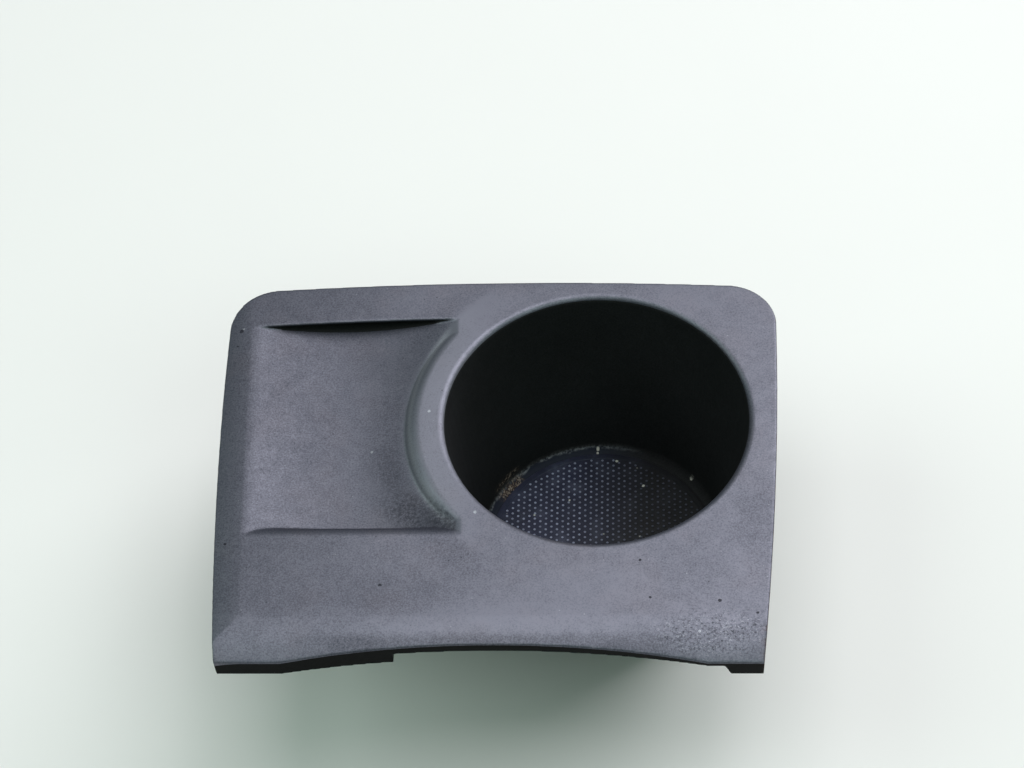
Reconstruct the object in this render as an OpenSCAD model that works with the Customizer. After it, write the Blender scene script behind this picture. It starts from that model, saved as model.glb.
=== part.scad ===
// Car cup holder insert: one moulded panel with a scooped tray and a cup well, and a loose anti-slip mat.
// The well's axis is the Z axis and its flat underside stands on Z = 0; +Y points to the panel's rear.

/* [Panel] */
// Height of the panel's top face over the well's underside
panel_top = 62; // [56:0.5:72]
// Sheet thickness of the panel
panel_wall = 2.4; // [1.8:0.1:3]
// Distance from the well's axis to the panel's middle line
panel_shift = 24.9; // [22:0.1:28]
// Half width of the panel at the rear station
rear_half_width = 70.8; // [68:0.1:76]
// Half width of the panel at the front edge
front_half_width = 64.3; // [62:0.1:68]
// Rear edge, measured from the well's axis on the middle line
rear_edge = 43.8; // [43:0.1:48]
// Length of the panel from its front corners to its rear edge
panel_length = 113.6; // [110:0.1:118]
// Depth of the hollow in the front edge
front_hollow = 4.1; // [2:0.1:6]
// Radius of the hollow in the front edge
front_hollow_radius = 305; // [260:5:360]
// Bow radius of the sides and the rear edge
bow_radius = 1000; // [800:50:1500]
// Radius of the rear corners
rear_corner_radius = 12.8; // [9:0.1:16]

/* [Rolled margins] */
// Roll radius of the front margin
front_roll_radius = 32; // [26:1:44]
// Where the front roll starts, in front of the well's axis
front_roll_start = 56.9; // [55:0.1:60]
// Roll radius of the left margin
side_roll_radius = 30; // [24:1:44]
// Where the left roll starts, inwards from the left edge
side_roll_width = 7.8; // [5:0.1:9]

/* [Skirt] */
// Depth of the skirt's lower edge below the panel's top face
skirt_depth = 7.8; // [7:0.1:12]
// Wall thickness of the skirt
skirt_wall = 2.2; // [1.6:0.1:2.6]
// Depth of the front cut-out's upper edge below the panel's top face
cutout_depth = 4.35; // [4:0.05:5]
// Left end of the front cut-out, from the well's axis
cutout_left = 47.3; // [44:0.1:52]
// Right end of the front cut-out, from the well's axis
cutout_right = 30.4; // [26:0.1:34]
// Run of the slanted right end
cutout_slant = 1.4; // [0.6:0.1:3]

/* [Tray] */
// Deepest point of the scooped tray
tray_depth = 4.2; // [3.6:0.1:4.6]
// Radius of the scoop
tray_radius = 84; // [78:1:88]
// Distance of the scoop's middle from the well's axis, at the rear lip
tray_offset = 62.4; // [61.5:0.1:63]
// Turn of the scoop, to run along the panel's left side
tray_turn = 3.3; // [2:0.1:4]
// Tray front wall, in front of the well's axis
tray_front = 31.8; // [30:0.1:33]
// Rounding of the edge over the tray's front wall
tray_front_round = 4.4; // [3:0.1:4.6]
// Rounding of the soft edge along the tray's left side
tray_left_round = 13; // [9:1:16]
// Width of the border behind the tray
rear_border = 12; // [11:0.1:14]
// Thickness of the border's lip over the slot
lip_wall = 1; // [0.8:0.1:1.6]
// How far the slot runs back under the border
slot_reach = 8; // [5:0.5:9]

/* [Mouth and ring] */
// Diameter of the cup hole
mouth_diameter = 76; // [72:0.5:78]
// Rounding of the cup hole's rim
mouth_round = 1.8; // [1:0.1:2.4]
// Radius of the ring round the hole, at the foot of its wall in the tray
ring_radius = 48.2; // [47:0.1:49]
// Rounding of the ring's edge at the tray
ring_round = 4.2; // [3:0.1:4.4]

/* [Cup well] */
// Wall thickness of the well
well_wall = 1.8; // [1.6:0.1:2.2]
// Floor thickness of the well
well_floor = 2; // [1.8:0.1:2.6]
// Radius of the well's inside at its floor
well_floor_radius = 32.9; // [31:0.1:34]
// Inside rounding between wall and floor
well_inner_round = 4; // [3:0.1:4.5]
// Outside rounding between wall and underside
well_outer_round = 7.2; // [6:0.1:7.5]

/* [Mat] */
// Thickness of the mat
mat_thickness = 1.2; // [1:0.1:2]
// Gap between the mat and the foot of the well's wall
mat_clearance = 2.3; // [2:0.1:3]
// Width of the mat's plain rim
mat_rim = 1.6; // [1:0.1:3]
// Depth of the mat's field below its rim
mat_field_depth = 0.25; // [0.2:0.05:0.4]

/* [Underside ribs] */
// Thickness of the ribs under the panel
rib_wall = 1.6; // [1.2:0.1:2]
// Depth of the ribs at the well
rib_depth = 20; // [14:1:26]
// Reach of the ribs under the tray, from the well's axis
left_rib_reach = 94; // [88:1:95]
// Angle between the ribs under the tray
left_rib_step = 26; // [20:1:30]
// Reach of the rib to the front
front_rib_reach = 64; // [60:1:65]
// Reach of the slanted rib to the front left corner
front_left_rib_reach = 89; // [80:1:90]
// Reach of the slanted rib to the front right corner
front_right_rib_reach = 60; // [56:1:62]
// Angle of the slanted ribs from the one to the front
slanted_rib_step = 42; // [36:1:48]

/* [Hidden] */
$fn = 128;

// Numbers worked out from the sizes above
middle_x = -panel_shift;
rear_station = 22;
hollow_offset = 1.3;
far = 220;
cut_margin = 10;
crease = 0.05;
round_slip = 0.02;
foot_slip = 0.05;
foot_gap = 0.3;
front_edge = panel_length - rear_edge;
mouth_radius = mouth_diameter / 2;
side_centre = arc_centre([rear_half_width, rear_station], [front_half_width, -front_edge], bow_radius);
rear_centre = [0, rear_edge - bow_radius];
corner_centre = meet_point(side_centre, rear_centre, bow_radius - rear_corner_radius);
side_angle = atan((rear_half_width - front_half_width) / (rear_station + front_edge));
tray_axis_height = panel_top + tray_radius - tray_depth;
tray_left_radius = tray_radius + tray_left_round;
tray_left_reach = sqrt(pow(tray_left_radius, 2) - pow(tray_left_radius - tray_depth, 2));
lip_radius = bow_radius - rear_border;
sheet_inset = skirt_wall * 0.7;
well_slope = (mouth_radius - well_floor_radius) / (panel_top - mouth_round - well_floor);
well_outer_radius = well_floor_radius + well_wall - well_floor * well_slope;
well_rim_height = panel_top - panel_wall / 2;
mat_radius = well_floor_radius - mat_clearance;
mat_foot_radius = well_floor_radius - well_inner_round - foot_gap;

// Centre of the circle of radius r through p and q, on the side of the negative X axis
function arc_centre(p, q, r) =
    let (
        half = (p - q) / 2,
        mid = (p + q) / 2,
        reach = sqrt(r * r - half * half),
        side = [-half[1], half[0]] / norm(half)
    )
    mid + side * reach;

// Upper right meeting point of two circles of the same radius r about p and q
function meet_point(p, q, r) =
    let (
        half = (q - p) / 2,
        mid = (p + q) / 2,
        reach = sqrt(r * r - half * half),
        side = [-half[1], half[0]] / norm(half)
    )
    (mid + side * reach)[1] > mid[1] ? mid + side * reach : mid - side * reach;

// Rear right corner, outside its rounding
module corner_waste(inset) {
    translate(corner_centre)
        difference() {
            square(rear_corner_radius * 2);
            circle(r = rear_corner_radius - inset + round_slip);
        }
}

// The panel seen from above, moved inwards by inset, about its own middle line
module outline_shape(inset) {
    difference() {
        intersection() {
            translate(side_centre)
                circle(r = bow_radius - inset, $fn = 720);
            mirror([1, 0])
                translate(side_centre)
                    circle(r = bow_radius - inset, $fn = 720);
            translate(rear_centre)
                circle(r = bow_radius - inset, $fn = 720);
            translate([-far / 2, -front_edge + inset])
                square([far, far]);
        }
        corner_waste(inset);
        mirror([1, 0])
            corner_waste(inset);
        translate([hollow_offset, front_hollow - front_edge - front_hollow_radius])
            circle(r = front_hollow_radius + inset, $fn = 720);
    }
}

// What the rolled front margin takes off the top, lowered by drop
module front_roll_waste(drop) {
    difference() {
        translate([-far / 2, -front_roll_start - far, panel_top - front_roll_radius])
            cube([far, far, front_roll_radius * 2]);
        translate([-far, -front_roll_start, panel_top - front_roll_radius + crease])
            rotate([0, 90, 0])
                cylinder(r = front_roll_radius - drop, h = far * 2);
    }
}

// What the rolled left margin takes off the top, lowered by drop
module side_roll_waste(drop) {
    translate([middle_x - rear_half_width + side_roll_width, rear_station, 0])
        rotate([0, 0, side_angle])
            difference() {
                translate([-far, -far, panel_top - side_roll_radius])
                    cube([far, far * 2, side_roll_radius * 2]);
                translate([0, far, panel_top - side_roll_radius + crease])
                    rotate([90, 0, 0])
                        cylinder(r = side_roll_radius - drop, h = far * 2);
            }
}

// The outline as a solid up to the top face with its rolled margins, lowered by drop
module crowned_block(inset, drop, bottom) {
    difference() {
        translate([middle_x, 0, bottom])
            linear_extrude(height = panel_top - drop - bottom)
                outline_shape(inset);
        front_roll_waste(drop);
        side_roll_waste(drop);
    }
}

// Puts a profile drawn across the tray along the scoop's axis
module along_tray() {
    translate([-tray_offset, rear_edge - rear_border, 0])
        rotate([0, 0, tray_turn])
            rotate([90, 0, 0])
                translate([0, 0, -far / 2])
                    linear_extrude(height = far)
                        children();
}

// The scoop's round form, thicker by wall
module scoop_form(wall) {
    along_tray()
        translate([0, tray_axis_height])
            circle(r = tray_radius + wall, $fn = 360);
}

// What the rounding takes off the soft edge along the scoop's left side
module left_edge_waste() {
    share = tray_radius / tray_left_radius;
    along_tray()
        difference() {
            translate([-tray_left_reach, panel_top - tray_depth / 2])
                square([tray_left_reach * (1 - share), cut_margin]);
            translate([-tray_left_reach, panel_top - tray_left_round + round_slip])
                circle(r = tray_left_round);
        }
}

// Profile of what stands up to edge, with a rounded upper edge
module kept_profile(edge, rounding) {
    difference() {
        translate([0, -cut_margin])
            square([edge, panel_top + cut_margin * 2]);
        translate([edge - rounding + round_slip, panel_top - rounding + round_slip])
            difference() {
                square([rounding * 2, cut_margin * 2]);
                circle(r = rounding);
            }
    }
}

// The flat ring kept between the tray and the hole
module ring_keep() {
    rotate_extrude()
        kept_profile(ring_radius, ring_round);
}

// The panel kept in front of the tray
module front_keep() {
    translate([-far, -far / 2, 0])
        rotate([90, 0, 90])
            linear_extrude(height = far * 2)
                kept_profile(far / 2 - tray_front, tray_front_round);
}

// Plan of the tray from its front wall, moved out by wall, back to an arc of the given radius
module tray_plan(back_radius, wall) {
    intersection() {
        translate(rear_centre)
            circle(r = back_radius, $fn = 720);
        translate([-far / 2, -tray_front - wall])
            square([far / 2, far]);
    }
}

// The open tray and the slot that runs on from it under the rear border
module tray_space() {
    difference() {
        intersection() {
            union() {
                scoop_form(0);
                left_edge_waste();
            }
            translate([middle_x, 0, panel_top - tray_depth * 2])
                union() {
                    linear_extrude(height = tray_depth * 3)
                        tray_plan(lip_radius, tray_front_round);
                    linear_extrude(height = tray_depth * 2 - lip_wall)
                        tray_plan(lip_radius + slot_reach, tray_front_round);
                }
        }
        ring_keep();
        front_keep();
    }
}

// The sheet below the tray and the slot
module tray_sheet() {
    difference() {
        intersection() {
            scoop_form(panel_wall);
            translate([middle_x, 0, panel_top - tray_depth - panel_wall * 2])
                linear_extrude(height = tray_depth + panel_wall * 1.5)
                    intersection() {
                        outline_shape(sheet_inset);
                        tray_plan(bow_radius, panel_wall);
                    }
        }
        cylinder(r = ring_radius - panel_wall, h = panel_top * 2);
    }
}

// The cut-out in the skirt's front, seen from the front
module cutout_shape() {
    polygon([
        [-cutout_left, panel_top - skirt_depth - cut_margin],
        [-cutout_left, panel_top - cutout_depth],
        [cutout_right, panel_top - cutout_depth],
        [cutout_right + cutout_slant, panel_top - skirt_depth],
        [cutout_right + cutout_slant, panel_top - skirt_depth - cut_margin],
    ]);
}

module front_cutout() {
    translate([0, front_hollow - front_edge + skirt_wall * 2, 0])
        rotate([90, 0, 0])
            linear_extrude(height = far / 4)
                cutout_shape();
}

// One radial rib under the panel, from the well's wall outwards
module rib(angle, reach) {
    rotate([0, 0, angle])
        translate([0, rib_wall / 2, 0])
            rotate([90, 0, 0])
                linear_extrude(height = rib_wall)
                    polygon([
                        [mouth_radius, panel_top - panel_wall / 2],
                        [mouth_radius, panel_top - rib_depth],
                        [reach, panel_top - skirt_depth + panel_wall],
                        [reach, panel_top - panel_wall / 2],
                    ]);
}

module ribs() {
    intersection() {
        union() {
            for (step = [-1:1])
                rib(180 + step * left_rib_step, left_rib_reach);
            rib(-90, front_rib_reach);
            rib(-90 - slanted_rib_step, front_left_rib_reach);
            rib(-90 + slanted_rib_step, front_right_rib_reach);
        }
        crowned_block(skirt_wall / 2, panel_wall / 2, panel_top - rib_depth - 1);
    }
}

// What a rounding takes off the foot of a slanted wall that stands at foot_radius on the level foot_z
module foot_waste(foot_radius, foot_z, round_radius) {
    reach = round_radius - foot_slip;
    translate([foot_radius + well_slope * reach - reach * norm([1, well_slope]), foot_z + reach])
        difference() {
            translate([0, -round_radius * 2])
                square(round_radius * 2);
            circle(r = round_radius);
        }
}

// Outside of the well
module well_outside() {
    rotate_extrude()
        difference() {
            polygon([
                [0, 0],
                [well_outer_radius, 0],
                [well_outer_radius + well_slope * well_rim_height, well_rim_height],
                [0, well_rim_height],
            ]);
            foot_waste(well_outer_radius, 0, well_outer_round);
        }
}

// Inside of the well, with its rounded foot
module well_inside() {
    rotate_extrude()
        difference() {
            polygon([
                [0, well_floor],
                [well_floor_radius, well_floor],
                [mouth_radius, panel_top - mouth_round],
                [mouth_radius, panel_top + cut_margin],
                [0, panel_top + cut_margin],
            ]);
            foot_waste(well_floor_radius, well_floor, well_inner_round);
        }
}

// What the rounding takes off the hole's rim
module rim_waste() {
    rotate_extrude()
        translate([mouth_radius + mouth_round - round_slip, panel_top - mouth_round + round_slip])
            difference() {
                translate([-mouth_round * 1.5, 0])
                    square([mouth_round * 1.5, mouth_round * 2]);
                circle(r = mouth_round);
            }
}

module moulding() {
    color([0.16, 0.165, 0.19])
        difference() {
            union() {
                difference() {
                    crowned_block(0, 0, panel_top - skirt_depth);
                    crowned_block(skirt_wall, panel_wall, panel_top - skirt_depth - cut_margin);
                }
                tray_sheet();
                ribs();
                well_outside();
            }
            tray_space();
            well_inside();
            rim_waste();
            front_cutout();
        }
}

module anti_slip_mat() {
    color([0.05, 0.06, 0.1])
        translate([0, 0, well_floor])
            difference() {
                rotate_extrude()
                    polygon([
                        [0, 0],
                        [mat_foot_radius, 0],
                        [mat_radius, mat_thickness / 2],
                        [mat_radius, mat_thickness],
                        [0, mat_thickness],
                    ]);
                translate([0, 0, mat_thickness - mat_field_depth])
                    cylinder(r = mat_radius - mat_rim, h = mat_thickness);
            }
}

moulding();
anti_slip_mat();
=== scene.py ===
"""Looks of a moulded car cup holder panel with a dotted mat in its well, laid on a pale floor."""

from __future__ import annotations

import logging
import math
from dataclasses import dataclass, field
from enum import Enum
from typing import Callable, Dict, Iterable, List, Optional, Sequence, Tuple, Union

import bpy
from mathutils import Matrix, Vector

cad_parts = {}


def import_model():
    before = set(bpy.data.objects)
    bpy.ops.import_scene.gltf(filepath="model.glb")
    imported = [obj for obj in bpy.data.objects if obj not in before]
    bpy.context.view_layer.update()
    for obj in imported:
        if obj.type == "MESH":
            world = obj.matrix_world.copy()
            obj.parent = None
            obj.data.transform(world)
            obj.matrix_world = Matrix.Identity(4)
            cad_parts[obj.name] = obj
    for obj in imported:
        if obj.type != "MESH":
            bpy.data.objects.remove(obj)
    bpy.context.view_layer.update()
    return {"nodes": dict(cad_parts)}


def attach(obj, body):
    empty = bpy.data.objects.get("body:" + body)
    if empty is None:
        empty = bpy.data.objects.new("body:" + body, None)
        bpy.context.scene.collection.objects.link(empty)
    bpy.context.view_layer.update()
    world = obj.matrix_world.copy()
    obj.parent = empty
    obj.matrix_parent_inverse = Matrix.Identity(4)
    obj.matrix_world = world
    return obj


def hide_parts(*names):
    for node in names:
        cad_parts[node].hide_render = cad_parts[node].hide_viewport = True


LOG = logging.getLogger("cup_holder")
MM = 0.001

Colour = Tuple[float, float, float]
Spot = Tuple[float, float, float]
Number = Union[float, "Field"]


class Slot(Enum):
    """The record's material slots."""

    MOULDING = "moulding"
    MAT = "anti_slip_mat"


class Field:
    """A node socket that Python arithmetic works on."""

    def __init__(self, tree: bpy.types.NodeTree, socket: bpy.types.NodeSocket) -> None:
        """Wraps one output socket.

        Args:
            tree: The node tree the socket belongs to.
            socket: The output socket.
        """
        self.tree = tree
        self.socket = socket

    def _math(self, operation: str, *values: Number, clamp: bool = False) -> "Field":
        """Adds one math node.

        Args:
            operation: The math node's operation.
            values: Its inputs in order, sockets or plain numbers.
            clamp: Whether the result is held between 0 and 1.

        Returns:
            The node's result.
        """
        node = self.tree.nodes.new("ShaderNodeMath")
        node.operation = operation
        node.use_clamp = clamp
        for place, value in zip(node.inputs, values):
            if isinstance(value, Field):
                self.tree.links.new(value.socket, place)
            else:
                place.default_value = value
        return Field(self.tree, node.outputs[0])

    def __add__(self, other: Number) -> "Field":
        """Sum."""
        return self._math("ADD", self, other)

    def __radd__(self, other: Number) -> "Field":
        """Sum with a number on the left."""
        return self._math("ADD", other, self)

    def __sub__(self, other: Number) -> "Field":
        """Difference."""
        return self._math("SUBTRACT", self, other)

    def __rsub__(self, other: Number) -> "Field":
        """Difference with a number on the left."""
        return self._math("SUBTRACT", other, self)

    def __mul__(self, other: Number) -> "Field":
        """Product."""
        return self._math("MULTIPLY", self, other)

    def __rmul__(self, other: Number) -> "Field":
        """Product with a number on the left."""
        return self._math("MULTIPLY", other, self)

    def __truediv__(self, other: Number) -> "Field":
        """Quotient."""
        return self._math("DIVIDE", self, other)

    def __rtruediv__(self, other: Number) -> "Field":
        """Quotient with a number on the left."""
        return self._math("DIVIDE", other, self)

    def __pow__(self, other: Number) -> "Field":
        """Power."""
        return self._math("POWER", self, other)

    def __neg__(self) -> "Field":
        """Negative."""
        return self._math("MULTIPLY", self, -1.0)

    def __abs__(self) -> "Field":
        """Absolute value."""
        return self._math("ABSOLUTE", self)

    def least(self, other: Number) -> "Field":
        """The smaller of two."""
        return self._math("MINIMUM", self, other)

    def most(self, other: Number) -> "Field":
        """The larger of two."""
        return self._math("MAXIMUM", self, other)

    def held(self) -> "Field":
        """The value held between 0 and 1."""
        return self._math("ADD", self, 0.0, clamp=True)

    def rise(self, low: float, high: float) -> "Field":
        """Goes smoothly from 0 at one value to 1 at another.

        Args:
            low: The value that gives 0.
            high: The value that gives 1; it may be the smaller one.

        Returns:
            The eased value.
        """
        t = ((self - low) / (high - low)).held()
        return t * t * (3.0 - 2.0 * t)


class Finish:
    """A material being put together from nodes on object coordinates, measured in millimetres."""

    def __init__(self, name: str) -> None:
        """Makes the material and its surface shader.

        Args:
            name: The material's name.
        """
        self.material = bpy.data.materials.new(name)
        self.material.use_nodes = True
        self.tree = self.material.node_tree
        self.tree.nodes.clear()
        self.output = self.tree.nodes.new("ShaderNodeOutputMaterial")
        self.surface = self.tree.nodes.new("ShaderNodeBsdfPrincipled")
        self.tree.links.new(self.surface.outputs["BSDF"], self.output.inputs["Surface"])
        place = self.tree.nodes.new("ShaderNodeTexCoord").outputs["Object"]
        self.place = self.add(
            "ShaderNodeVectorMath", {"operation": "SCALE"}, {0: place, "Scale": 1000.0}
        )
        parts = self.tree.nodes.new("ShaderNodeSeparateXYZ")
        self.tree.links.new(self.place.socket, parts.inputs[0])
        self.x, self.y, self.z = (Field(self.tree, out) for out in parts.outputs)

    def add(
        self,
        kind: str,
        settings: Optional[Dict[str, object]] = None,
        inputs: Optional[Dict[Union[str, int], object]] = None,
        output: Union[str, int] = 0,
    ) -> Field:
        """Adds one node.

        Args:
            kind: The node's type.
            settings: Its own settings, set before the inputs.
            inputs: Its inputs by name or number, sockets or constants.
            output: The output wanted, by name or number.

        Returns:
            That output.
        """
        node = self.tree.nodes.new(kind)
        for name, value in (settings or {}).items():
            setattr(node, name, value)
        for key, value in (inputs or {}).items():
            self._feed(node.inputs[key], value)
        return Field(self.tree, node.outputs[output])

    def _feed(self, place: bpy.types.NodeSocket, value: object) -> None:
        """Links a socket or sets a constant."""
        if isinstance(value, Field):
            self.tree.links.new(value.socket, place)
        elif isinstance(value, bpy.types.NodeSocket):
            self.tree.links.new(value, place)
        elif isinstance(value, tuple) and len(value) == 3 and place.type == "RGBA":
            place.default_value = (*value, 1.0)
        else:
            place.default_value = value

    def feed(self, **values: object) -> None:
        """Sets the surface shader's inputs, with spaces in the names written as underscores."""
        for name, value in values.items():
            self._feed(self.surface.inputs[name.replace("_", " ")], value)

    def overlay(self, factor: Field, **values: object) -> None:
        """Lays a second surface over the first.

        Args:
            factor: How much of the second surface shows, 0 to 1.
            values: Its shader's inputs, with spaces in the names written as underscores.
        """
        under = self.output.inputs["Surface"].links[0].from_socket
        over = self.tree.nodes.new("ShaderNodeBsdfPrincipled")
        for name, value in values.items():
            self._feed(over.inputs[name.replace("_", " ")], value)
        mixed = self.add(
            "ShaderNodeMixShader", {}, {0: factor, 1: under, 2: over.outputs["BSDF"]}
        )
        self.tree.links.new(mixed.socket, self.output.inputs["Surface"])

    def noise(
        self,
        size: float,
        detail: float = 2.0,
        roughness: float = 0.5,
        stretch: Tuple[float, float, float] = (1.0, 1.0, 1.0),
        turn: float = 0.0,
        shift: float = 0.0,
    ) -> Field:
        """Cloudy noise.

        Args:
            size: Size of its features in mm.
            detail: Number of finer layers.
            roughness: Strength of the finer layers.
            stretch: How much longer the features are along each direction.
            turn: Turn of the stretched pattern about the vertical in degrees.
            shift: A distance in mm that makes this pattern differ from others.

        Returns:
            A value around 0.5.
        """
        scale = tuple(1.0 / (size * s) for s in stretch)
        place = self.add(
            "ShaderNodeMapping",
            {"vector_type": "POINT"},
            {
                "Vector": self.add(
                    "ShaderNodeMapping",
                    {"vector_type": "POINT"},
                    {
                        "Vector": self.place,
                        "Location": (shift, -shift, 0.5 * shift),
                        "Rotation": (0.0, 0.0, math.radians(turn)),
                    },
                ),
                "Scale": scale,
            },
        )
        return self.add(
            "ShaderNodeTexNoise",
            {"noise_dimensions": "3D"},
            {"Vector": place, "Scale": 1.0, "Detail": detail, "Roughness": roughness},
        )

    def radius(self) -> Field:
        """Distance from the well's axis in mm."""
        return (self.x * self.x + self.y * self.y) ** 0.5

    def cells(self, size: float, shift: float = 0.0) -> Field:
        """Distance from the nearest of scattered points, as a share of their spacing.

        Args:
            size: Spacing of the points in mm.
            shift: A distance in mm that makes this pattern differ from others.

        Returns:
            The distance, 0 at a point.
        """
        place = self.add(
            "ShaderNodeMapping",
            {"vector_type": "POINT"},
            {
                "Vector": self.place,
                "Location": (shift, shift, shift),
                "Scale": (1.0 / size,) * 3,
            },
        )
        return self.add(
            "ShaderNodeTexVoronoi", {"feature": "F1"}, {"Vector": place, "Scale": 1.0}, "Distance"
        )

    def blob(self, spot: Tuple[float, float], reach: Tuple[float, float], turn: float = 0.0) -> Field:
        """A soft oval seen from above.

        Args:
            spot: Its centre along X and Y in mm.
            reach: Its two half lengths in mm.
            turn: Its turn about the vertical in degrees.

        Returns:
            1 at the centre and 0 outside.
        """
        c, s = math.cos(math.radians(turn)), math.sin(math.radians(turn))
        dx, dy = self.x - spot[0], self.y - spot[1]
        u = (dx * c + dy * s) / reach[0]
        v = (dy * c - dx * s) / reach[1]
        return (u * u + v * v).rise(1.0, 0.0)

    def spots(self, places: Sequence[Spot]) -> Field:
        """Small round marks.

        Args:
            places: Each mark's X, Y and radius in mm.

        Returns:
            1 on a mark and 0 elsewhere.
        """
        total = self.x * 0.0
        ragged = 3.0 * (self.noise(0.6, 2.0, 0.6, shift=61.0) - 0.5)
        for x, y, radius in places:
            dx, dy = (self.x - x) / radius, (self.y - y) / radius
            total = total.most((dx * dx + dy * dy + ragged).rise(1.3, 0.6))
        return total

    def tinted(self, colour: Union[Colour, Field], strength: Number) -> Field:
        """A colour made lighter or darker by a factor."""
        return self.add(
            "ShaderNodeVectorMath", {"operation": "SCALE"}, {0: colour, "Scale": strength}
        )

    def mixed(self, factor: Number, under: Union[Colour, Field], over: Union[Colour, Field]) -> Field:
        """One colour laid over another.

        Args:
            factor: How much of the upper colour shows, 0 to 1.
            under: The lower colour.
            over: The upper colour.

        Returns:
            The mixed colour.
        """
        return self.add(
            "ShaderNodeMix",
            {"data_type": "RGBA", "clamp_factor": True},
            {0: factor, 6: under, 7: over},
            2,
        )

    def bumped(self, height: Field, distance: float, strength: float = 1.0) -> Field:
        """A normal for a surface raised by a height between 0 and 1.

        Args:
            height: The height.
            distance: The real height of 1 in mm.
            strength: How strongly it shows.

        Returns:
            The normal.
        """
        return self.add(
            "ShaderNodeBump",
            {},
            {"Height": height, "Distance": distance * MM, "Strength": strength},
        )


@dataclass(frozen=True)
class PanelSkin:
    """The height of the panel's outer skin over every spot, in mm.

    A finish tells from it how deep a point lies below the skin.
    """

    top: float = 62.0
    front_start: float = -56.9
    front_radius: float = 32.0
    side_start: Tuple[float, float] = (-87.9, 22.0)
    side_turn: float = 4.05
    side_radius: float = 30.0
    scoop_start: Tuple[float, float] = (-62.4, 31.8)
    scoop_turn: float = 3.3
    scoop_radius: float = 84.0
    scoop_depth: float = 4.2
    tray_front: float = -36.4
    tray_right: float = 43.9
    rear_centre: Tuple[float, float] = (-24.9, -956.2)
    lip_radius: float = 987.85

    @staticmethod
    def _across(paint: Finish, start: Tuple[float, float], turn: float) -> Field:
        """Distance to the right of a line through a point that runs to the rear, turned to the left."""
        c, s = math.cos(math.radians(turn)), math.sin(math.radians(turn))
        return (paint.x - start[0]) * c + (paint.y - start[1]) * s

    @staticmethod
    def _roll(past: Field, radius: float) -> Field:
        """How far a rolled margin has dropped at a distance past its start."""
        past = past.most(0.0)
        return (radius - 0.05 - (radius**2 - past * past).most(0.0) ** 0.5).most(0.0)

    def depth(self, paint: Finish) -> Field:
        """Depth of each point below the outer skin.

        Args:
            paint: The material being made.

        Returns:
            The depth in mm.
        """
        front = self._roll(self.front_start - paint.y, self.front_radius)
        side = self._roll(-self._across(paint, self.side_start, self.side_turn), self.side_radius)
        across = self._across(paint, self.scoop_start, self.scoop_turn)
        scoop = (
            self.top
            + self.scoop_radius
            - self.scoop_depth
            - (self.scoop_radius**2 - across * across).most(0.0) ** 0.5
        )
        dx, dy = paint.x - self.rear_centre[0], paint.y - self.rear_centre[1]
        tray = (
            (dx * dx + dy * dy).rise((self.lip_radius + 0.03) ** 2, (self.lip_radius - 0.03) ** 2)
            * paint.y.rise(self.tray_front - 0.03, self.tray_front + 0.03)
            * paint.radius().rise(self.tray_right, self.tray_right + 0.1)
            * paint.x.rise(-20.0, -21.0)
        )
        skin = self.top - (front + side)
        return skin + tray * ((scoop - skin).least(0.0)) - paint.z


@dataclass(frozen=True)
class Patch:
    """A soft oval area seen from above, in mm, with its middle's strength and its turn in degrees."""

    spot: Tuple[float, float]
    reach: Tuple[float, float]
    strength: float = 1.0
    turn: float = 0.0

    def on(self, paint: Finish) -> Field:
        """The area in a material, from its strength at the middle to 0 at its edge."""
        return self.strength * paint.blob(self.spot, self.reach, self.turn)


@dataclass(frozen=True)
class Patterns:
    """The patterns that the layers of the worn plastic share."""

    cloud: Field
    mottle: Field
    grain: Field
    scuff: Field
    pick: Field
    tone: Field
    normal: Field

    @classmethod
    def of(cls, paint: Finish, scuffed: Patch) -> "Patterns":
        """Lays the patterns out in a material.

        Args:
            paint: The material being made.
            scuffed: Where the plastic is scuffed.

        Returns:
            The patterns.
        """
        cloud = paint.noise(22.0, 3.0, 0.55)
        mottle = paint.noise(3.2, 3.0, 0.6, shift=40.0)
        grain = paint.noise(0.42, 3.0, 0.75, shift=90.0)
        scuff = scuffed.on(paint)
        pick = paint.noise(0.7, 3.0, 0.75, shift=70.0)
        tone = 1.0 + 0.4 * (cloud - 0.5) + 0.3 * (mottle - 0.5) + 1.6 * (grain - 0.5)
        relief = 0.6 * grain + 0.4 * paint.noise(1.3, 2.0, 0.5, shift=3.0) + 1.2 * scuff * pick
        return cls(cloud, mottle, grain, scuff, pick, tone, paint.bumped(relief, 0.05))


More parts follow.
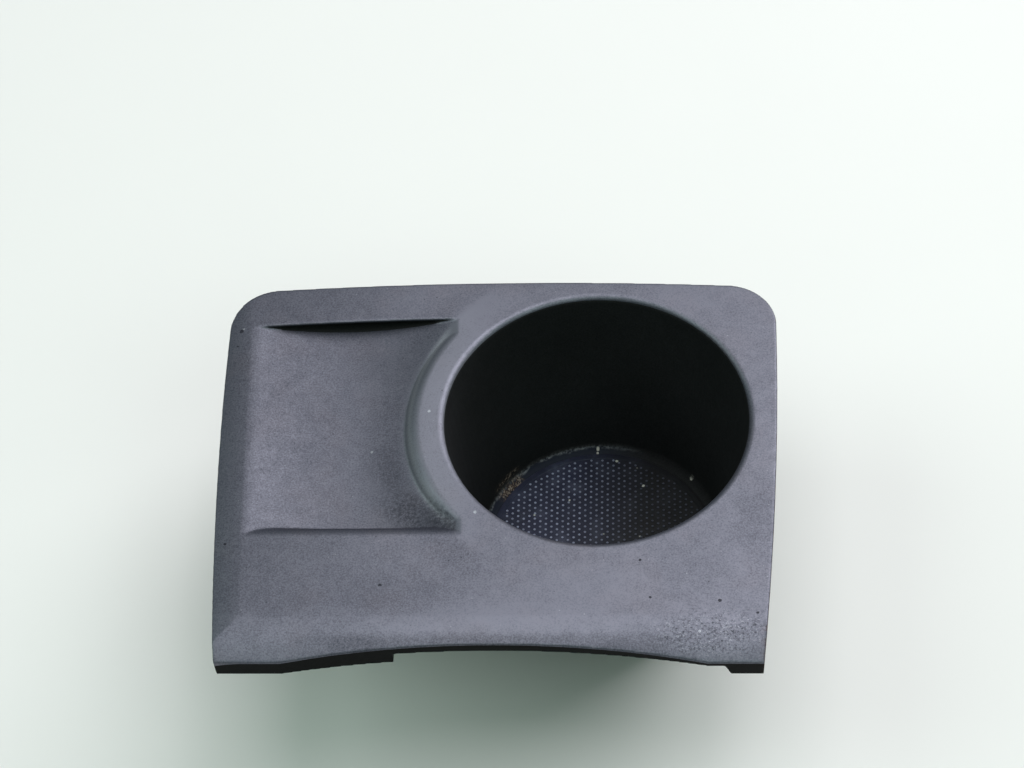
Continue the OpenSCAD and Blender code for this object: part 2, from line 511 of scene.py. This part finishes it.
@dataclass(frozen=True)
class WornPlastic:
    """Dark moulded plastic whose worn top has a pale sheen, with dust, scuffs and grime in places, and
    painted light and shade in broad areas.
    """

    colour: Colour = (0.022, 0.0225, 0.035)
    sheen_tint: Colour = (0.815, 0.815, 1.0)
    warm_colour: Colour = (0.028, 0.0235, 0.033)
    # Colour of the matt overlay, which also paints shade.
    matt_and_shade_colour: Colour = (0.012, 0.012, 0.021)
    # Colour of the dark unworn plastic, which also paints shade.
    fresh_and_shade_colour: Colour = (0.020, 0.020, 0.022)
    dust_and_highlight_colour: Colour = (0.30, 0.31, 0.34)
    grime_colour: Colour = (0.012, 0.012, 0.020)
    rust_colour: Colour = (0.10, 0.045, 0.035)
    navy_colour: Colour = (0.014, 0.017, 0.034)
    grit_colour: Colour = (0.07, 0.04, 0.03)
    pale_grit_colour: Colour = (0.33, 0.27, 0.23)
    crumb_colour: Colour = (0.62, 0.60, 0.56)
    roughness: float = 0.50
    refraction: float = 1.9
    mattness: float = 0.17
    skin: PanelSkin = PanelSkin()
    dark_spots: Tuple[Spot, ...] = (
        (-92.6, 28.4, 0.55),
        (-93.1, 23.4, 0.35),
        (-50.9, -50.0, 0.4),
        (13.2, -53.6, 0.35),
        (10.9, -43.2, 0.35),
        (-89.6, -37.8, 0.4),
        (29.5, -54.6, 0.45),
        (38.2, -57.9, 0.35),
    )
    pale_spots: Tuple[Spot, ...] = (
        (-42.0, 1.6, 0.4),
        (-29.1, -29.2, 0.4),
        (-56.2, -8.0, 0.35),
        (-92.1, 29.0, 0.3),
        (24.6, -62.6, 0.35),
    )
    crumbs: Tuple[Spot, ...] = ((24.9, 21.6, 0.6), (-1.4, 31.2, 0.35), (-1.3, 32.2, 0.4))
    scuffed: Patch = Patch((28.0, -62.6), (17.5, 8.0), turn=3.0)
    gritty: Patch = Patch((-25.8, 19.6), (6.0, 3.6), turn=49.0)
    thin_dirt: Patch = Patch((-42.5, -28.6), (16.0, 6.5), 0.7, -24.0)
    thick_dirt: Patch = Patch((-34.6, -31.6), (13.0, 6.0), 0.8, -28.0)
    rubs: Tuple[Patch, Patch] = (
        Patch((-51.5, -14.5), (3.5, 11.0), 0.5, 12.0),
        Patch((-45.5, -24.0), (3.2, 9.0), 0.5, 55.0),
    )
    smudges: Tuple[Patch, Patch] = (
        Patch((-54.5, -15.0), (5.0, 15.0), 0.10, 10.0),
        Patch((-57.0, 19.0), (6.0, 7.0), 0.10),
    )
    # Painted highlights: patches of the panel made lighter.
    painted_highlights: Tuple[Patch, ...] = (
        Patch((-38.0, 38.5), (24.0, 9.0), 0.13),
        Patch((28.0, 40.0), (18.0, 8.0), 0.10),
        Patch((0.0, -51.5), (19.0, 9.0), 0.13),
        Patch((-22.0, -57.5), (18.0, 5.0), 0.10),
    )
    # Painted shade: patches of the panel made darker.
    painted_shades: Tuple[Patch, ...] = (
        Patch((-46.0, -51.5), (17.0, 9.0), 0.11),
        Patch((41.0, -32.0), (10.0, 17.0), 0.11),
    )

    def make(self) -> bpy.types.Material:
        """Builds the material, from the worn sheen up to the rust line."""
        paint = Finish("worn plastic")
        patterns = Patterns.of(paint, self.scuffed)
        self._sheen(paint, patterns)
        # Matt overlay, which also carries painted light and shade.
        paint.overlay(
            self._matt_and_shade(paint, patterns).held(),
            Base_Color=paint.tinted(self.matt_and_shade_colour, patterns.tone),
            Roughness=0.8,
            Specular_IOR_Level=0.2,
            Normal=patterns.normal,
        )
        self._fresh_and_shade(paint, patterns)
        self._foot_tones(paint, patterns)
        self._foot_grit(paint, patterns)
        paint.overlay(
            self._grime(paint, patterns),
            Base_Color=self.grime_colour,
            Roughness=0.75,
            Specular_IOR_Level=0.25,
            Normal=patterns.normal,
        )
        paint.overlay(
            self._rust(paint), Base_Color=self.rust_colour, Roughness=0.8, Specular_IOR_Level=0.3
        )
        return paint.material

    def _sheen(self, paint: Finish, patterns: Patterns) -> None:
        """Sets the polished surface, with slightly warmer patches, pale dust and painted highlights."""
        warm = paint.noise(14.0, 2.0, 0.5, shift=120.0).rise(0.46, 0.72)
        plastic = paint.mixed(warm, self.colour, self.warm_colour)
        base = paint.mixed(
            self._dust_and_highlights(paint, patterns), paint.tinted(plastic, patterns.tone), self.dust_and_highlight_colour
        )
        uneven = 0.08 * (patterns.cloud - 0.5) + 0.10 * (patterns.mottle - 0.5)
        paint.feed(
            Base_Color=base,
            Roughness=self.roughness + uneven,
            IOR=self.refraction,
            Specular_IOR_Level=1.0,
            Specular_Tint=(*self.sheen_tint, 1.0),
            Normal=patterns.normal,
        )

    def _dust_and_highlights(self, paint: Finish, patterns: Patterns) -> Field:
        """Where pale dust sits (fine specks, the scuffed patch and single spots), and painted
        highlights that lighten the ring's flank and the ring.

        Args:
            paint: The material being made.
            patterns: The shared patterns.

        Returns:
            How much dust and painted highlight there is, 0 to 1.
        """
        radius = paint.radius()
        specks = paint.cells(2.3, 31.0).rise(0.09, 0.045)
        specks = specks * paint.noise(7.0, shift=25.0).rise(0.44, 0.60)
        scratches = paint.noise(0.42, 3.0, 0.7, (1.5, 1.0, 1.0), 20.0, 60.0).rise(0.56, 0.67)
        # Painted highlights: the ring's flank beside the tray and the ring's left part are made paler.
        flank = radius.rise(49.0, 47.5) * paint.z.rise(61.9, 60.6) * paint.x.rise(-22.0, -34.0)
        ring = radius.rise(49.0, 47.0) * radius.rise(38.5, 40.5) * paint.x.rise(-28.0, -38.0)
        dust = (0.45 * specks).most(0.6 * patterns.scuff * scratches)
        dust = dust.most(0.9 * paint.spots(self.pale_spots))
        return dust.most(0.33 * flank).most(0.09 * ring)

    def _matt_and_shade(self, paint: Finish, patterns: Patterns) -> Field:
        """How matt the surface is, from 0 for polished upwards, in its grain, with painted light and
        shade in broad areas.

        Args:
            paint: The material being made.
            patterns: The shared patterns.

        Returns:
            The mattness with its painted light and shade, which may leave the range 0 to 1.
        """
        x, y, radius = paint.x, paint.y, paint.radius()
        # Painted shade on the tray beside the ring, the front edge and the front right; painted
        # highlight on the ring's flank and the rolled front.
        by_tray = x.rise(-22.0, -34.0)
        lit_ring_flank = radius.rise(49.5, 47.5) * by_tray
        shaded_tray_beside_ring = radius.rise(60.0, 52.5) * radius.rise(48.5, 50.5) * by_tray
        lit_rolled_front = y.rise(-54.0, -60.0)
        shaded_front_edge = y.rise(-61.8, -65.0) * x.rise(-80.0, -50.0) * x.rise(28.0, 5.0)
        shaded_front_right = y.rise(-57.0, -63.0) * x.rise(5.0, 25.0)
        return (
            self.mattness
            + 1.7 * (patterns.grain - 0.5)
            + 0.35 * (patterns.mottle - 0.5)
            + 0.25 * (patterns.cloud - 0.5)
            + 2.4 * patterns.scuff * (patterns.pick - 0.5)
            # Painted shade: the left side is made darker.
            + 0.22 * x.rise(-30.0, -92.0)
            + 0.16 * shaded_tray_beside_ring
            + 0.36 * shaded_front_edge
            + 0.18 * shaded_front_right
            + 0.30 * self._front_line(paint)
            - 0.20 * lit_ring_flank
            - 0.10 * lit_rolled_front
            + sum(patch.on(paint) for patch in self.painted_shades)
            - sum(patch.on(paint) for patch in self.painted_highlights)
        )

    def _front_line(self, paint: Finish) -> Field:
        """The thin dark line along the upper edge of the tray's front wall."""
        across = paint.x.rise(-84.0, -72.0) * paint.x.rise(-36.0, -44.0) * paint.z.rise(59.6, 60.0)
        return across * paint.y.rise(-34.4, -33.4) * paint.y.rise(-31.9, -32.2)

    def _fresh_and_shade(self, paint: Finish, patterns: Patterns) -> None:
        """Lays the dark unworn plastic over all that lies below the outer skin; it is also painted
        shade, holding the sunken surface behind the tray's rear lip near black and the front faces
        darker towards the front.
        """
        near_hole = paint.radius().rise(42.0, 41.0)
        # Painted shade: the front faces darker towards the front.
        shade = 1.0 - 0.8 * paint.y.rise(-55.0, -62.0)
        paint.overlay(
            (self.skin.depth(paint) - 0.55 * near_hole).rise(0.32, 0.48),
            Base_Color=paint.tinted(self.fresh_and_shade_colour, patterns.tone * shade),
            Roughness=0.6,
            Specular_IOR_Level=0.06,
            Normal=patterns.normal,
        )

    @staticmethod
    def _well_foot(paint: Finish) -> Field:
        """The inside of the well near its floor, without the wall's outer side."""
        radius = paint.radius()
        return (
            (radius - 1.6 * paint.z).rise(27.6, 27.3)
            * (radius - 0.32 * paint.z).rise(31.6, 31.3)
            * paint.z.rise(1.4, 2.0)
        )

    def _foot_tones(self, paint: Finish, patterns: Patterns) -> None:
        """Lays a dark bluish colour and a thin wavy pale line on the rounding at the well's foot,
        palest on the far left side.
        """
        inside = self._well_foot(paint)
        paint.overlay(
            inside * paint.z.rise(4.3, 3.9) * paint.x.rise(16.0, -6.0),
            Base_Color=self.navy_colour,
            Roughness=0.7,
            Specular_IOR_Level=0.3,
            Normal=patterns.normal,
        )
        side = (paint.y * 0.75 - paint.x * 0.66).rise(13.0, 31.0)
        wave = paint.z + 2.2 * (paint.noise(5.0, 3.0, 0.6, shift=8.0) - 0.5)
        line = wave.rise(3.1, 3.7) * wave.rise(4.9, 4.3)
        fleck = paint.noise(0.8, 4.0, 0.75, shift=33.0).rise(0.38, 0.60)
        paint.overlay(
            0.75 * inside * side * line * fleck,
            Base_Color=self.dust_and_highlight_colour,
            Roughness=0.85,
            Normal=patterns.normal,
        )

    def _foot_grit(self, paint: Finish, patterns: Patterns) -> None:
        """Lays some brown grit and a few pale crumbs on the rounding at the well's foot."""
        inside = self._well_foot(paint)
        grit = inside * paint.z.rise(8.0, 5.5) * self.gritty.on(paint)
        speck = paint.noise(0.9, 3.0, 0.8, shift=47.0)
        paint.overlay(
            grit * speck.rise(0.42, 0.52),
            Base_Color=paint.mixed(speck.rise(0.52, 0.60), self.grit_colour, self.pale_grit_colour),
            Roughness=0.9,
            Normal=patterns.normal,
        )
        crumbs = inside * paint.z.rise(5.2, 4.9) * paint.spots(self.crumbs)
        paint.overlay(0.9 * crumbs, Base_Color=self.crumb_colour, Roughness=0.9)

    def _grime(self, paint: Finish, patterns: Patterns) -> Field:
        """Where dark grime sits: specks, picks, single spots and the tray's front right corner.

        Args:
            paint: The material being made.
            patterns: The shared patterns.

        Returns:
            How much grime there is, 0 to 1.
        """
        specks = paint.cells(2.6, 11.0).rise(0.10, 0.05) * paint.noise(9.0, shift=5.0).rise(0.50, 0.62)
        picks = patterns.scuff * patterns.pick.rise(0.60, 0.68)
        low = paint.z.rise(61.9, 61.4)
        soot = paint.noise(0.9, 4.0, 0.75, shift=15.0)
        sparse, dense = soot.rise(0.36, 0.66), soot.rise(0.20, 0.62)
        corner = (self.thin_dirt.on(paint) * sparse).most(self.thick_dirt.on(paint) * dense)
        first_rub, second_rub = (rub.on(paint) for rub in self.rubs)
        first_smudge, second_smudge = (smudge.on(paint) for smudge in self.smudges)
        dirt = (0.6 * specks).most(0.75 * picks).most(0.9 * paint.spots(self.dark_spots))
        dirt = dirt.most(low * corner).most(first_rub.most(second_rub) * sparse)
        return dirt.most(first_smudge).most(second_smudge)

    @staticmethod
    def _rust(paint: Finish) -> Field:
        """The reddish-brown line along the right edge."""
        line = paint.x.rise(38.0, 42.0) * paint.z.rise(61.9, 61.5) * paint.z.rise(53.0, 58.0)
        return 0.75 * line * paint.noise(1.6, 3.0, 0.7, shift=65.0).rise(0.34, 0.56)


@dataclass(frozen=True)
class DustyRubber:
    """Dark blue-black rubber whose raised dots are pale, with painted shade that darkens the mat and
    its dots towards the right.
    """

    colour: Colour = (0.015, 0.018, 0.045)
    dot_colour: Colour = (0.34, 0.37, 0.52)
    crumb_colour: Colour = (0.60, 0.60, 0.56)
    roughness: float = 0.62
    field_top: float = 2.95
    dot_top: float = 3.2
    field_radius: float = 29.0

    def make(self) -> bpy.types.Material:
        """Builds the material."""
        paint = Finish("dusty rubber")
        cloud = paint.noise(9.0, 3.0, 0.6)
        grain = paint.noise(0.5, 3.0, 0.65, shift=20.0)
        base = paint.tinted(self.colour, 1.0 + 0.9 * (cloud - 0.5) + 0.9 * (grain - 0.5))
        # Uneven paleness of the dots.
        patchy = paint.noise(2.4, 3.0, 0.7, shift=80.0).rise(0.30, 0.62)
        # Painted shade: the mat and its dots darker towards the right.
        shaded_side = (paint.x * 0.9 - paint.y * 0.1).rise(-12.0, 12.0)
        dots = (
            paint.z.rise(self.field_top + 0.04, self.dot_top - 0.03)
            * paint.radius().rise(self.field_radius + 0.2, self.field_radius - 0.1)
            * (0.45 + 0.55 * patchy)
            * (1.0 - 0.82 * shaded_side)
        )
        base = paint.tinted(base, 1.0 - 0.9 * shaded_side)
        base = paint.mixed(dots, base, self.dot_colour)
        haze = paint.noise(6.0, 4.0, 0.65, shift=12.0).rise(0.42, 0.75)
        base = paint.mixed(0.10 * haze * (1.0 - 0.8 * shaded_side), base, self.dot_colour)
        crumbs = (0.8 * paint.cells(4.5, 17.0).rise(0.08, 0.05) * cloud.rise(0.46, 0.58)).most(
            paint.spots(((11.3, 19.7, 0.4), (4.0, 28.2, 0.35), (-9.0, 15.0, 0.3)))
        )
        base = paint.mixed(0.9 * crumbs, base, self.crumb_colour)
        paint.feed(
            Base_Color=base,
            Roughness=self.roughness + 0.2 * (grain - 0.5),
            Normal=paint.bumped(grain, 0.03),
            Specular_IOR_Level=0.4,
        )
        return paint.material


@dataclass(frozen=True)
class PaleFloor:
    """Plain pale floor with the faintest unevenness."""

    colour: Colour = (0.79, 0.765, 0.78)

    def make(self) -> bpy.types.Material:
        """Builds the material."""
        paint = Finish("pale floor")
        cloud = paint.noise(60.0, 2.0, 0.5)
        paint.feed(
            Base_Color=paint.tinted(self.colour, 1.0 + 0.02 * (cloud - 0.5)),
            Roughness=0.75 + 0.05 * (cloud - 0.5),
            Specular_IOR_Level=0.2,
        )
        return paint.material


class Workshop:
    """Small helpers round Blender's own modelling operators."""

    @staticmethod
    def deselect() -> None:
        """Leaves object mode with nothing selected."""
        if bpy.context.object is not None and bpy.context.object.mode != "OBJECT":
            bpy.ops.object.mode_set(mode="OBJECT")
        bpy.ops.object.select_all(action="DESELECT")

    @classmethod
    def pick(cls, piece: bpy.types.Object) -> None:
        """Makes one object the only selected and active one."""
        cls.deselect()
        piece.select_set(True)
        bpy.context.view_layer.objects.active = piece

    @classmethod
    def edit(cls, piece: bpy.types.Object) -> None:
        """Enters edit mode on an object with everything selected."""
        cls.pick(piece)
        bpy.ops.object.mode_set(mode="EDIT")
        bpy.ops.mesh.select_all(action="SELECT")

    @classmethod
    def apply(cls, piece: bpy.types.Object, kind: str, **settings: object) -> None:
        """Adds a modifier and applies it.

        Args:
            piece: The object.
            kind: The modifier's type.
            settings: The modifier's settings.
        """
        cls.pick(piece)
        modifier = piece.modifiers.new(kind.lower(), kind)
        for name, value in settings.items():
            setattr(modifier, name, value)
        bpy.ops.object.modifier_apply(modifier=modifier.name)

    @classmethod
    def settle(cls, piece: bpy.types.Object) -> None:
        """Puts an object's place into its mesh, so that the object sits at the origin."""
        cls.pick(piece)
        bpy.ops.object.transform_apply(location=True, rotation=True, scale=True)

    @classmethod
    def choose(cls, piece: bpy.types.Object, rule: Callable[[Vector, Vector], bool]) -> None:
        """Enters edit mode with the faces that follow a rule selected.

        Args:
            piece: The object.
            rule: Takes a face's centre and normal.
        """
        cls.edit(piece)
        bpy.ops.mesh.select_mode(type="FACE")
        bpy.ops.mesh.select_all(action="DESELECT")
        bpy.ops.object.mode_set(mode="OBJECT")
        for face in piece.data.polygons:
            face.select = rule(face.center, face.normal)
        bpy.ops.object.mode_set(mode="EDIT")

    @classmethod
    def join(cls, pieces: Sequence[bpy.types.Object], name: str) -> bpy.types.Object:
        """Joins objects into one.

        Args:
            pieces: The objects.
            name: The joined object's name.

        Returns:
            The joined object.
        """
        cls.deselect()
        for piece in pieces:
            piece.select_set(True)
        bpy.context.view_layer.objects.active = pieces[0]
        bpy.ops.object.join()
        pieces[0].name = name
        return pieces[0]


@dataclass
class Moulding:
    """The one-piece panel with its tray, slot and cup well, with the soft edges of a moulding."""

    node: bpy.types.Object
    grain: float = 0.32 * MM
    smoothing: int = 2
    triangles: int = 190000
    finish: WornPlastic = field(default_factory=WornPlastic)

    def build(self) -> bpy.types.Object:
        """Makes a softened copy of the CAD shape.

        Returns:
            The piece.
        """
        Workshop.deselect()
        piece = self.node.copy()
        piece.data = self.node.data.copy()
        bpy.context.scene.collection.objects.link(piece)
        piece.parent = None
        for key in list(piece.keys()):
            del piece[key]
        piece.name = "moulding_shell"
        Workshop.edit(piece)
        bpy.ops.mesh.remove_doubles(threshold=0.002 * MM)
        bpy.ops.mesh.normals_make_consistent(inside=False)
        bpy.ops.object.mode_set(mode="OBJECT")
        Workshop.apply(piece, "REMESH", mode="VOXEL", voxel_size=self.grain, adaptivity=0.0)
        Workshop.apply(piece, "SMOOTH", factor=0.5, iterations=self.smoothing)
        count = sum(len(face.vertices) - 2 for face in piece.data.polygons)
        if count > self.triangles:
            Workshop.apply(piece, "DECIMATE", ratio=self.triangles / count)
        Workshop.pick(piece)
        bpy.ops.object.shade_smooth()
        return piece

    def dress(self, piece: bpy.types.Object) -> None:
        """Gives the piece its finish and puts it in the CAD node's stead."""
        piece.data.materials.clear()
        piece.data.materials.append(self.finish.make())
        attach(piece, "root")
        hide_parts("moulding")


@dataclass
class AntiSlipMat:
    """The loose round mat: a disc with a plain raised rim round a field of small raised dots."""

    radius: float = 30.6 * MM
    thickness: float = 1.2 * MM
    bottom: float = 2.0 * MM
    rim: float = 1.6 * MM
    field_depth: float = 0.25 * MM
    edge_round: float = 0.18 * MM
    pitch: float = 1.77 * MM
    dot_width: float = 0.92 * MM
    dot_sides: int = 8
    finish: DustyRubber = field(default_factory=DustyRubber)

    @property
    def top(self) -> float:
        """Height of the rim and of the dots."""
        return self.bottom + self.thickness

    @property
    def field_top(self) -> float:
        """Height of the field between the dots."""
        return self.top - self.field_depth

    def disc(self) -> bpy.types.Object:
        """Models the disc with its sunken field."""
        Workshop.deselect()
        bpy.ops.mesh.primitive_cylinder_add(
            vertices=160,
            radius=self.radius,
            depth=self.thickness,
            location=(0.0, 0.0, self.bottom + self.thickness / 2),
        )
        piece = bpy.context.object
        Workshop.settle(piece)
        Workshop.apply(
            piece,
            "BEVEL",
            width=self.edge_round,
            segments=3,
            limit_method="ANGLE",
            angle_limit=math.radians(60),
        )
        Workshop.choose(piece, lambda centre, normal: normal.z > 0.99)
        bpy.ops.mesh.inset(thickness=self.rim - self.edge_round - self.field_depth)
        bpy.ops.mesh.inset(thickness=self.field_depth)
        bpy.ops.transform.translate(value=(0.0, 0.0, -self.field_depth))
        bpy.ops.object.mode_set(mode="OBJECT")
        return piece

    def dot(self) -> bpy.types.Object:
        """Models one dot at the middle of the field."""
        Workshop.deselect()
        sunk = 0.1 * MM
        height = self.field_depth + sunk
        bpy.ops.mesh.primitive_cone_add(
            vertices=self.dot_sides,
            radius1=self.dot_width / 2,
            radius2=self.dot_width / 2 * 0.62,
            depth=height,
            location=(0.0, 0.0, self.field_top - sunk + height / 2),
        )
        piece = bpy.context.object
        Workshop.settle(piece)
        Workshop.choose(piece, lambda centre, normal: normal.z < -0.9)
        bpy.ops.mesh.delete(type="FACE")
        Workshop.choose(piece, lambda centre, normal: normal.z > 0.9)
        bpy.ops.mesh.inset(thickness=self.dot_width * 0.13)
        bpy.ops.object.mode_set(mode="OBJECT")
        return piece

    def dots(self) -> List[bpy.types.Object]:
        """Copies the dot into columns that fill the field, every other one half a step along."""
        seed = self.dot()
        reach = self.radius - self.rim - self.dot_width / 2
        step = self.pitch * math.sqrt(3.0) / 2
        columns = []
        for column in range(-int(reach / step), int(reach / step) + 1):
            across = column * step
            half = math.sqrt(reach**2 - across**2)
            shift = 0.5 if column % 2 else 0.0
            low = math.ceil(-half / self.pitch - shift)
            high = math.floor(half / self.pitch - shift)
            Workshop.pick(seed)
            bpy.ops.object.duplicate(linked=False)
            piece = bpy.context.object
            piece.location = (across, (low + shift) * self.pitch, 0.0)
            Workshop.settle(piece)
            Workshop.apply(
                piece,
                "ARRAY",
                count=high - low + 1,
                use_relative_offset=False,
                use_constant_offset=True,
                constant_offset_displace=(0.0, self.pitch, 0.0),
            )
            columns.append(piece)
        bpy.data.objects.remove(seed)
        return columns

    def build(self) -> bpy.types.Object:
        """Models the mat.

        Returns:
            The piece.
        """
        piece = Workshop.join([self.disc(), *self.dots()], "mat_disc")
        Workshop.pick(piece)
        bpy.ops.object.shade_smooth_by_angle(angle=math.radians(35))
        return piece

    def dress(self, piece: bpy.types.Object) -> None:
        """Gives the piece its finish and puts it in the CAD node's stead."""
        piece.data.materials.clear()
        piece.data.materials.append(self.finish.make())
        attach(piece, "root")
        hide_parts("anti_slip_mat")


@dataclass(frozen=True)
class Lamp:
    """A soft square lamp that faces the panel from afar."""

    name: str
    azimuth: float
    elevation: float
    power: float
    distance: float = 1.5
    side: float = 0.9
    colour: Colour = (1.0, 1.0, 1.0)

    def make(self, target: Vector) -> bpy.types.Object:
        """Adds the lamp.

        Args:
            target: The point it faces.

        Returns:
            The lamp.
        """
        a, e = math.radians(self.azimuth), math.radians(self.elevation)
        way = Vector((math.cos(a) * math.cos(e), math.sin(a) * math.cos(e), math.sin(e)))
        data = bpy.data.lights.new(self.name, "AREA")
        data.shape = "SQUARE"
        data.size = self.side
        data.energy = self.power
        data.color = self.colour
        lamp = bpy.data.objects.new(self.name, data)
        bpy.context.scene.collection.objects.link(lamp)
        lamp.location = target + way * self.distance
        lamp.rotation_euler = (-way).to_track_quat("-Z", "Y").to_euler()
        return lamp


@dataclass(frozen=True)
class Studio:
    """Floor, light and camera."""

    floor_side: float = 6.0
    floor_finish: PaleFloor = PaleFloor()
    sky_colour: Colour = (0.15, 0.90, 0.45)
    sky_strength: float = 0.04
    lamps: Tuple[Lamp, ...] = (
        Lamp("ceiling", 0.0, 90.0, 6.6),
        Lamp("low_window", 45.0, 25.0, 8.8),
        Lamp("window", 45.0, 55.0, 9.4),
        Lamp("back_window", 90.0, 58.0, 2.6),
        Lamp("left_fill", 180.0, 45.0, 6.6, colour=(0.82, 1.0, 0.89)),
        Lamp("front_fill", 315.0, 45.0, 5.0, colour=(0.78, 1.0, 0.86)),
        Lamp("front", 270.0, 55.0, 2.2, colour=(0.82, 1.0, 0.90)),
    )
    camera_place: Tuple[float, float, float] = (0.014637, -0.330516, 0.502143)
    camera_right: Tuple[float, float, float] = (0.99787306, 0.03242489, -0.05655078)
    camera_up: Tuple[float, float, float] = (0.0089418, 0.79122843, 0.61145533)
    camera_back: Tuple[float, float, float] = (0.06457095, -0.61066046, 0.78925559)
    lens: float = 77.34

    def build(self) -> None:
        """Sets the floor, the sky, the lamps and the camera."""
        self._floor()
        self._sky()
        target = Vector((-0.02, -0.01, 0.05))
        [lamp.make(target) for lamp in self.lamps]
        self._camera()

    def _floor(self) -> None:
        """Lays the floor under the well's flat foot."""
        Workshop.deselect()
        bpy.ops.mesh.primitive_plane_add(size=self.floor_side, location=(0.0, 0.0, 0.0))
        floor = bpy.context.object
        floor.name = "floor"
        floor.data.materials.append(self.floor_finish.make())

    def _sky(self) -> None:
        """Sets the even light from all round."""
        world = bpy.data.worlds.new("room light")
        world.use_nodes = True
        light = world.node_tree.nodes["Background"]
        light.inputs["Color"].default_value = (*self.sky_colour, 1.0)
        light.inputs["Strength"].default_value = self.sky_strength
        bpy.context.scene.world = world

    def _camera(self) -> None:
        """Stands the camera where the photo was taken from."""
        data = bpy.data.cameras.new("camera")
        data.lens = self.lens
        data.sensor_width = 36.0
        data.clip_start = 0.01
        data.clip_end = 20.0
        camera = bpy.data.objects.new("camera", data)
        bpy.context.scene.collection.objects.link(camera)
        axes = Matrix((self.camera_right, self.camera_up, self.camera_back)).transposed()
        camera.matrix_world = Matrix.Translation(self.camera_place) @ axes.to_4x4()
        bpy.context.scene.camera = camera
        bpy.context.scene.view_settings.view_transform = "Standard"


def main() -> None:
    """Builds the cup holder and its studio in order."""
    logging.basicConfig(level=logging.INFO, format="%(message)s")
    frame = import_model()
    for part in (Moulding(frame["nodes"]["moulding"]), AntiSlipMat()):
        piece = part.build()
        part.dress(piece)
        LOG.info("%s: %d faces", piece.name, len(piece.data.polygons))
    Studio().build()


if __name__ == "__main__":
    main()
